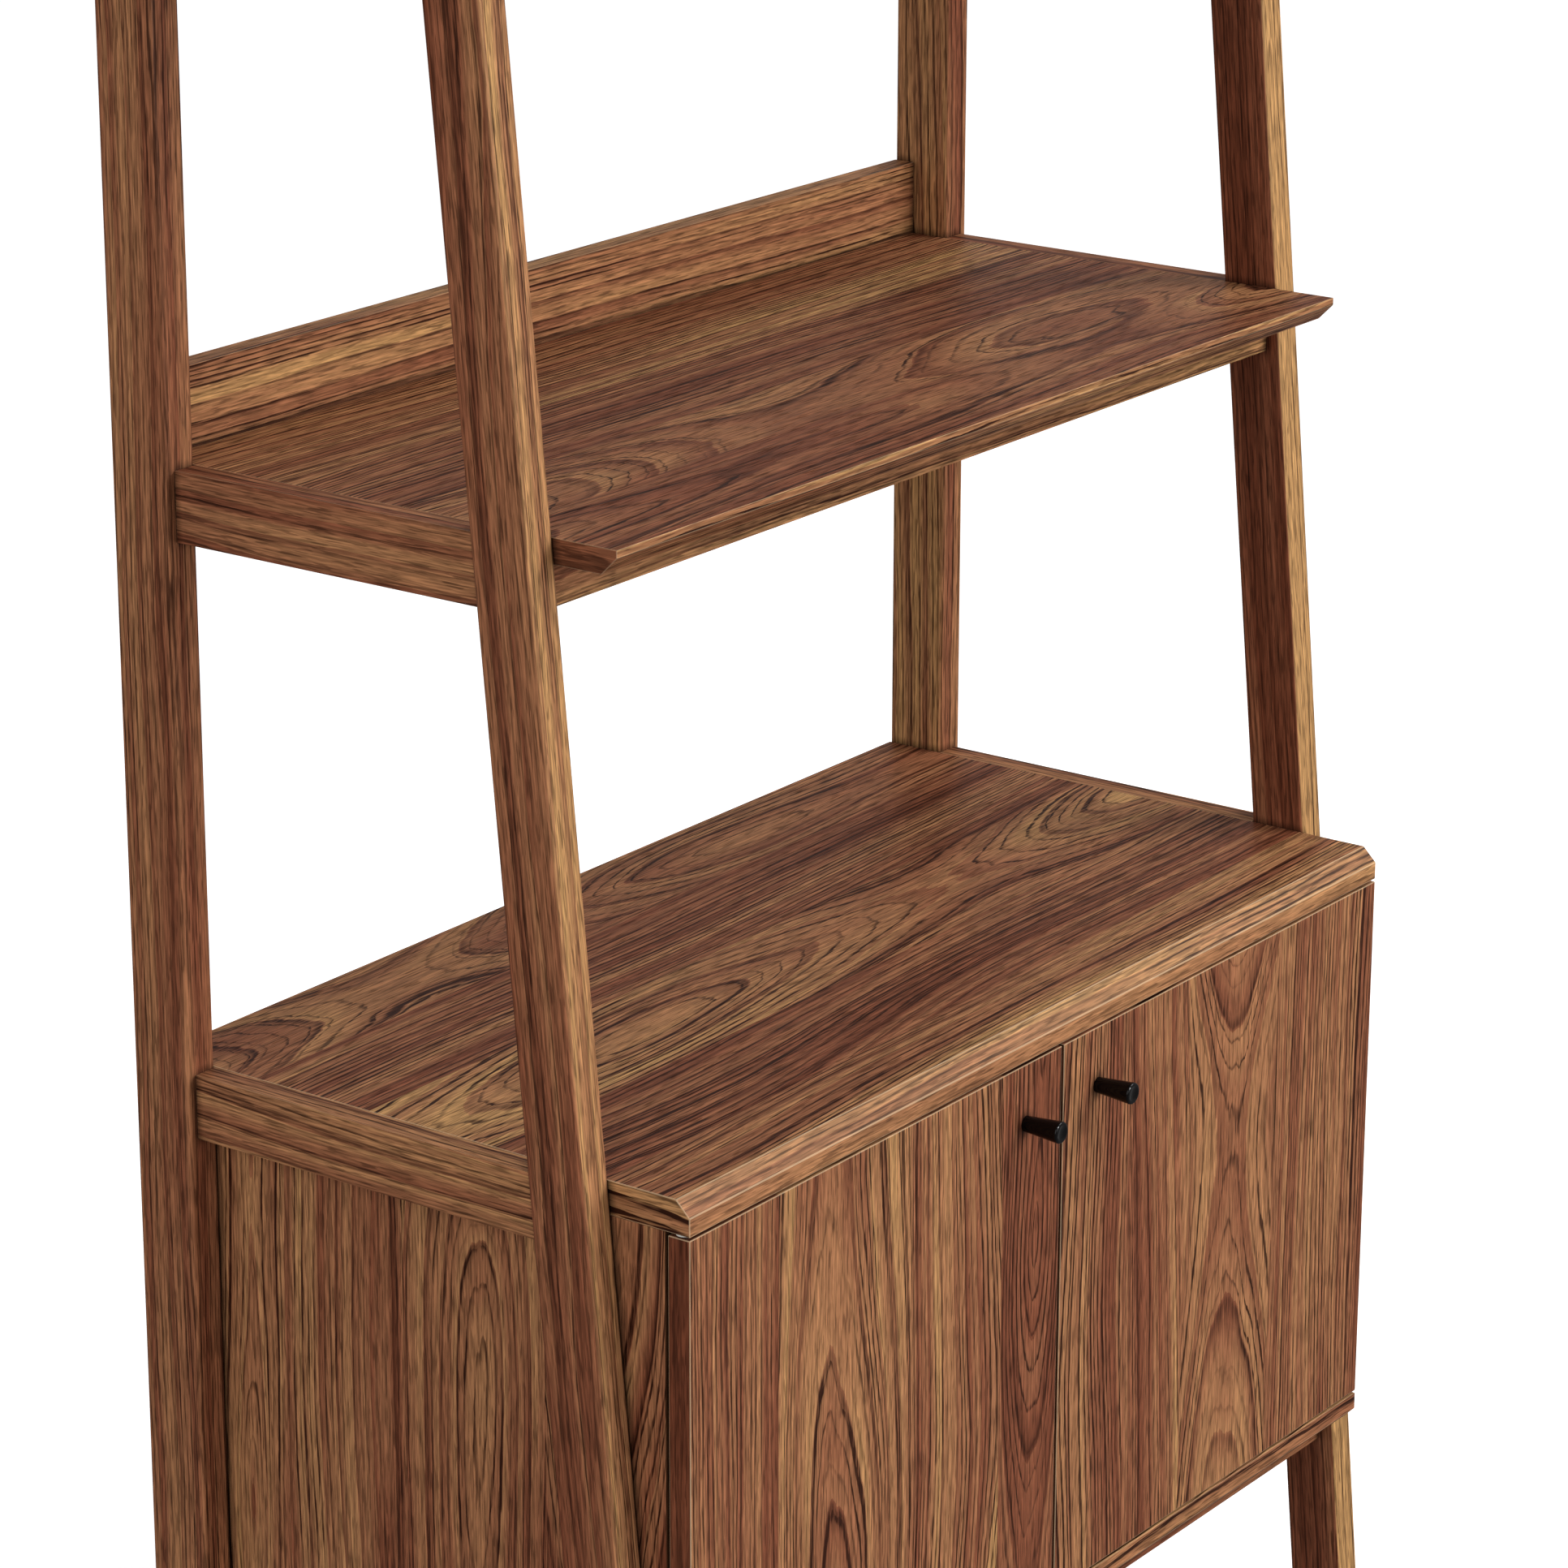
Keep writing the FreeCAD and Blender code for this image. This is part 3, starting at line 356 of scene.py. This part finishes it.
def walnut(
    name,
    key,
    grain,
    flat,
    reach,
    bottom,
    strips,
    faces,
    figure=1.0,
    lines=1.0,
    lean=0.0,
    edge=0.0,
    haze=0.0,
):
    """A walnut laminate material.

    key picks the part's own grain.
    grain is the axis it runs along, and flat is the broad face's other axis.
    reach is (start, end) of the piece along flat, and bottom where it starts along its thickness.
    strips lists the veneers laid side by side: (width in any unit, heart as a share of the reach,
    depth in metres, tone).
    faces lists (axis, sign, change of tone) for faces made lighter or darker; some of these are
    print, and some are painted light and shade.
    figure is how much the rings wander, and lines how dark their lines are.
    lean is how far the part leans along Y for each metre of height.
    edge paints a highlight that makes the print paler on rounded corners, and the last argument
    paints a pale sheen on a chamfer at the front."""
    material, t, shader = new_material(name)
    vector, across = grain_vector(t, grain, flat, lean, bottom)
    heart, depth, tone = laid_veneers(t, across, reach, strips)
    for axis, sign, change in faces:
        towards = t.times(t.facing(axis), sign)
        tone = t.plus(tone, t.times(t.step(towards, low=0.5, high=0.95), change))
    # The narrow edges are banded with straight grain.
    broad = t.minus(1.0, t.step(t.math("ABSOLUTE", t.facing(flat)), low=0.5, high=0.65))
    print_node = t.add("ShaderNodeGroup", node_tree=WALNUT)
    given, made = print_node.inputs, print_node.outputs
    t.put(given["Vector"], vector)
    t.put(given["Heart"], heart)
    t.put(given["Depth"], depth)
    t.put(given["Tone"], tone)
    t.put(given["Key"], t.plus(t.times(heart, KEY_SPREAD), key * KEY_STEP))
    t.put(given["Figure"], t.times(broad, figure))
    t.put(given["Lines"], lines)
    colour = made["Color"]
    # Painted highlight on the rounded corners.
    if edge:
        colour = t.mix(edge, colour, PAINTED_HIGHLIGHT)
    # Painted sheen on a chamfer at the front.
    if haze:
        colour = chamfer_haze(t, colour, haze)
    # The base colour carries painted shade in joints and gaps.
    t.put(shader["Base Color"], paint_crevice_shade(t, colour))
    t.put(shader["Roughness"], made["Gloss"])
    t.put(shader["Normal"], t.bump(made["Height"], strength=0.25, distance=0.0002))
    shader["Specular IOR Level"].default_value = WALNUT_GLOSS
    return material


def random_strips(dice, length):
    """Veneers 80 to 140 mm wide across a board, about half of them plain and half figured.

    A figured veneer has its heart under it, and a plain one has it 90 to 200 mm away."""
    strips, place = [], 0.0
    while place < length:
        width = dice.uniform(0.08, 0.14)
        if dice.random() < 0.5:
            heart = place + width * dice.uniform(0.3, 0.7)
        else:
            heart = place + dice.choice((-1, 1)) * dice.uniform(0.09, 0.2)
        share = min(max(heart / length, FAR_HEARTS[0]), FAR_HEARTS[1])
        strips.append((width, share, dice.uniform(0.01, 0.05), dice.uniform(0.36, 0.66)))
        place += width
    return strips


def plain_strip(dice, tone):
    """One veneer for a narrow part. Its heart is far to one side, so that the lines run straight."""
    heart, depth = dice.choice(FAR_HEARTS), dice.uniform(0.02, 0.06)
    return [(1.0, heart, depth, dice.uniform(0.45, 0.55) if tone is None else tone)]


# Boards whose veneers are laid out one by one, from the left on a door and else from the front:
# (width in mm, heart as a share of the whole, depth in metres, tone).
VENEERS = {
    "door_left": (
        (92, -0.25, 0.02, 0.36),
        (148, 0.36, 0.03, 0.6),
        (105, 0.98, 0.02, 0.56),
        (71, 0.93, 0.015, 0.3),
    ),
    "door_right": (
        (84, -0.2, 0.02, 0.42),
        (76, 0.62, 0.03, 0.5),
        (120, 0.55, 0.02, 0.6),
        (136, 1.35, 0.03, 0.46),
    ),
    "cabinet_top_board": (
        (60, -0.3, 0.02, 0.62),
        (84, -0.2, 0.015, 0.32),
        (98, 0.48, 0.03, 0.64),
        (90, 0.15, 0.03, 0.36),
        (79, 0.9, 0.02, 0.5),
    ),
    "shelf_board_lower": (
        (70, 0.14, 0.02, 0.46),
        (62, 0.3, 0.03, 0.58),
        (74, 1.3, 0.03, 0.34),
        (90, 0.2, 0.02, 0.6),
    ),
    "cabinet_side_left": (
        (90, 0.12, 0.02, 0.42),
        (110, 0.37, 0.03, 0.56),
        (96, -0.3, 0.02, 0.48),
        (92, 0.85, 0.03, 0.52),
    ),
}
# How a family of parts is printed, by the start of their names.
BOARDS = ("shelf_board", "cabinet_top", "cabinet_bottom_board", "cabinet_inner")
PRINTS = (
    (BOARDS, dict(grain="X", flat="Y")),
    (("back_lip",), dict(grain="X", flat="Z", figure=0.3, lines=0.7)),
    (("front_apron", "cabinet_front_apron"), dict(grain="X", flat="Z", figure=0.3, lines=0.75)),
    (("side_rail",), dict(grain="Y", flat="Z", figure=0.3, lines=0.65)),
    (("rear_post",), dict(grain="Z", flat="Y", figure=0.3, lines=0.6)),
    (("front_leg",), dict(grain="Z", flat="Y", figure=0.3, lines=0.6, lean=LEG_LEAN)),
    (("door", "cabinet_back_panel"), dict(grain="Z", flat="X", lines=0.9)),
    (("cabinet_side",), dict(grain="Z", flat="Y", lines=0.7)),
)
# How much paler the rounded corners are than the print: a painted highlight.
USUAL_HIGHLIGHT = 0.2
CORNER_HIGHLIGHTS = {"cabinet_top_board": 0.45, "door_left": 0.45, "door_right": 0.45}
# How much painted sheen makes a chamfer at the front paler.
CHAMFER_SHEENS = {"cabinet_top_board": 0.08}
# Narrow parts whose print is lighter or darker than most.
TONES = {
    "side_rail_lower_left": 0.33,
    "side_rail_cabinet_top_left": 0.54,
    "rear_post_left": 0.46,
    "front_leg_left": 0.33,
    "back_lip_lower": 0.62,
    "front_apron_lower": 0.62,
}
# Faces lighter or darker than the rest of their part: the axis they face along, sign and change.
FACES = {
    "front_leg_left": (("Y", -1, 0.36),),
    # The darker inner face, facing -X, is painted shade.
    "front_leg_right": (("Y", -1, 1.0), ("X", -1, -0.4)),
    "cabinet_bottom_board": (("Y", -1, -0.15),),
    # The darker left edge is painted shade.
    "door_left": (("X", -1, -0.35),),
    # The lighter inner face, facing -X, is painted light.
    "rear_post_right": (("X", -1, 0.4),),
    "shelf_board_lower": (("Y", -1, 0.5),),
}


def dress(node, *materials):
    """Gives a CAD node's object these materials, in its slots' order."""
    slots = NODES[node].data.materials
    slots.clear()
    for material in materials:
        slots.append(material)


def print_walnut():
    """Gives every walnut part a print for its faces, and for its corners the same print made paler
    by a painted highlight.
    """
    for key, node in enumerate(sorted(NODES)):
        options = next((dict(o) for prefixes, o in PRINTS if node.startswith(prefixes)), None)
        if options is None:
            continue
        dice = random.Random(key * 7 + 3)  # a fixed seed of the part's own
        flat = AXES.index(options["flat"])
        thick = 3 - flat - AXES.index(options["grain"])
        low, high = (corner[flat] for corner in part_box(node))
        if "lean" in options:  # its foot is its foremost place, at height 0
            high = low + LEG_DEPTH
        if node in VENEERS:
            strips = VENEERS[node]
        elif high - low > BROAD:
            strips = random_strips(dice, high - low)
        else:
            strips = plain_strip(dice, TONES.get(node))
        options.update(key=key, reach=(low, high), bottom=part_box(node)[0][thick], strips=strips)
        options.update(faces=FACES.get(node, ()), haze=CHAMFER_SHEENS.get(node, 0.0))
        dress(
            node,
            walnut(f"walnut_{node}", **options),
            # the corners' material, with a painted highlight
            walnut(f"walnut_highlit_corner_{node}", edge=CORNER_HIGHLIGHTS.get(node, USUAL_HIGHLIGHT), **options),
        )


print_walnut()

# ---- hardware --------------------------------------------------------------


def mottled(name, colour, rough, metal=0.0, variation=0.12, bump=0.05, specular=0.5):
    """A moulded or plated finish with slight changes of colour and gloss."""
    material, t, shader = new_material(name)
    cloud = t.noise(t.place(), scale=300.0, detail=3.0)
    shade = t.plus(1.0 - variation / 2, t.times(cloud, variation))
    t.put(shader["Base Color"], t.shade(colour, shade))
    t.put(shader["Roughness"], t.plus(rough - 0.04, t.times(cloud, 0.08)))
    t.put(shader["Normal"], t.bump(cloud, strength=bump, distance=0.0001))
    shader["Metallic"].default_value = metal
    shader["Specular IOR Level"].default_value = specular
    return material


# By the name of the material that the CAD gives a piece.
FINISHES = {
    "beech": mottled("beech", rgb(205, 168, 120), 0.6),
    "black_knob": mottled(
        "black_lacquer", rgb(9, 7, 7), 0.1, variation=0.3, bump=0.01, specular=0.18
    ),
    "zinc_steel": mottled("zinc_plate", rgb(190, 192, 196), 0.3, metal=1.0),
    "zinc_cast": mottled("zinc_cast", rgb(150, 152, 156), 0.45, metal=1.0),
    "painted_steel": mottled("painted_steel", rgb(52, 40, 34), 0.45),
    "black_nylon": mottled("black_nylon", rgb(24, 23, 23), 0.55),
    "white_nylon": mottled("white_nylon", rgb(214, 212, 205), 0.5),
    "brown_plastic": mottled("brown_plastic", rgb(84, 54, 38), 0.45),
}
for piece in NODES.values():
    slots = piece.data.materials
    for place, slot in enumerate(slots):
        if slot is not None and slot.name in FINISHES:
            slots[place] = FINISHES[slot.name]

# ---- softened corners --------------------------------------------------------

# The width of the corners' rounding in metres, by the start of the parts' names.
SOFTENED = {
    "shelf_board": 0.0005,
    "cabinet_top_board": 0.0006,
    "cabinet_bottom_board": 0.0005,
    "side_rail": 0.0004,
    "back_lip": 0.0004,
    "door": 0.0006,
}
SHORTEST_CORNER = 0.004  # shorter edges belong to the rims of holes
HIGHLIGHT_SLOT = 1  # the second material, the edge print made paler by a painted highlight


def mark_corners(mesh):
    """Marks a mesh's longer crisp edges for its bevel, and leaves the rims of holes alone.

    The CAD's mesh is split along its crisp edges, so each has one face."""
    faces = {}
    for polygon in mesh.polygons:
        for edge in polygon.edge_keys:
            faces[edge] = faces.get(edge, 0) + 1
    marks = mesh.attributes.new("bevel_weight_edge", "FLOAT", "EDGE")
    for edge in mesh.edges:
        a, b = (mesh.vertices[i].co for i in edge.vertices)
        if faces.get(tuple(sorted(edge.vertices))) == 1 and (a - b).length > SHORTEST_CORNER:
            marks.data[edge.index].value = 1.0


def soften(piece, width):
    """Rounds a piece's crisp corners a little, with its edge print and painted highlight on them."""
    mark_corners(piece.data)
    weld = piece.modifiers.new("weld", "WELD")
    weld.merge_threshold = 1e-5
    bevel = piece.modifiers.new("edges", "BEVEL")
    bevel.width = width
    bevel.segments = 2
    bevel.limit_method = "WEIGHT"
    bevel.harden_normals = True
    bevel.use_clamp_overlap = False
    bevel.miter_outer = "MITER_SHARP"
    bevel.material = HIGHLIGHT_SLOT


for node, piece in NODES.items():
    for prefix, width in SOFTENED.items():
        if node.startswith(prefix):
            soften(piece, width)

# ---- floor, light and camera -------------------------------------------------

FLOOR_REACH = 60.0
FLOOR_GLOW = 0.62  # lifts it to the background's paleness
FLOOR_TONES = ((0.3, rgb(244, 244, 244)), (0.7, rgb(249, 249, 249)))
# The sky's grey by height: 0 straight down, 0.5 at the horizon and 1 overhead.
SKY = ((0.0, 0.25), (0.46, 0.3), (0.5, 0.5), (0.56, 0.5), (1.0, 0.38))
# Where the lamps point, in metres.
MIDDLE = (0.0, 0.0, 0.9)
KNOBS = (0.0, -0.24, 0.53)
LENS = 120.88  # mm, on a frame 36 mm wide
CAMERA_PLACE = (-2.6355, -1.8937, 1.7733)
CAMERA_RIGHT = (0.58982, -0.80754, 0.00197)
CAMERA_UP = (0.25064, 0.18538, 0.95016)
CAMERA_BACK = (-0.76766, -0.55993, 0.31175)


def plain_floor():
    """A pale floor that shadows fall on. Other pieces take no light from it and don't reflect it."""
    mesh = bpy.data.meshes.new("floor")
    r = FLOOR_REACH
    mesh.from_pydata([(-r, -r, 0), (r, -r, 0), (r, r, 0), (-r, r, 0)], [], [(0, 1, 2, 3)])
    floor = bpy.data.objects.new("floor", mesh)
    bpy.context.scene.collection.objects.link(floor)
    material, t, shader = new_material("pale_floor")
    t.put(shader["Base Color"], t.ramp(t.noise(t.place(), scale=3.0), FLOOR_TONES))
    shader["Roughness"].default_value = 1.0
    shader["Specular IOR Level"].default_value = 0.0
    shader["Emission Color"].default_value = (1, 1, 1, 1)
    shader["Emission Strength"].default_value = FLOOR_GLOW
    mesh.materials.append(material)
    floor.visible_diffuse = False
    floor.visible_glossy = False


def soft_world():
    """Pale all round, brightest at the horizon."""
    world = bpy.data.worlds.new("studio")
    bpy.context.scene.world = world
    world.use_nodes = True
    t = Tree(world.node_tree)
    up = t.split(t.add("ShaderNodeTexCoord").outputs["Generated"])[2]
    height = t.plus(t.times(up, 0.5), 0.5)
    stops = [(place, (grey, grey, grey, 1)) for place, grey in SKY]
    background = world.node_tree.nodes["Background"].inputs
    t.put(background["Color"], t.ramp(height, stops))
    background["Strength"].default_value = 1.0


def lamp(name, place, target, size, power):
    """A soft area lamp, size (width, height) in metres and power in watts."""
    light = bpy.data.lights.new(name, "AREA")
    light.shape = "RECTANGLE"
    light.size, light.size_y = size
    light.energy = power
    holder = bpy.data.objects.new(name, light)
    holder.location = place
    holder.rotation_euler = (Vector(target) - Vector(place)).to_track_quat("-Z", "Y").to_euler()
    holder.visible_camera = False
    bpy.context.scene.collection.objects.link(holder)
    return holder


def photo_camera():
    """A long lens at the front left, looking a little down."""
    camera = bpy.data.cameras.new("camera")
    camera.sensor_width = 36.0
    camera.lens = LENS
    camera.clip_end = 100.0
    holder = bpy.data.objects.new("camera", camera)
    turn = Matrix((CAMERA_RIGHT, CAMERA_UP, CAMERA_BACK)).transposed().to_4x4()
    holder.matrix_world = Matrix.Translation(CAMERA_PLACE) @ turn
    bpy.context.scene.collection.objects.link(holder)
    bpy.context.scene.camera = holder


plain_floor()
soft_world()
lamp("key", (2.5, -2.8, 3.5), MIDDLE, size=(2.2, 2.2), power=112.0)
lamp("front", (0.9, -4.6, 1.25), MIDDLE, size=(2.4, 1.6), power=58.0)
lamp("fill", (-3.4, -1.6, 1.9), MIDDLE, size=(2.5, 2.5), power=44.0)
# A small lamp that only shines back from gloss, such as the knobs' rims.
sparkle = lamp("sparkle", (0.5, -3.0, 1.65), KNOBS, size=(0.5, 0.5), power=90.0)
sparkle.visible_diffuse = False
photo_camera()
bpy.context.scene.view_settings.view_transform = "Standard"
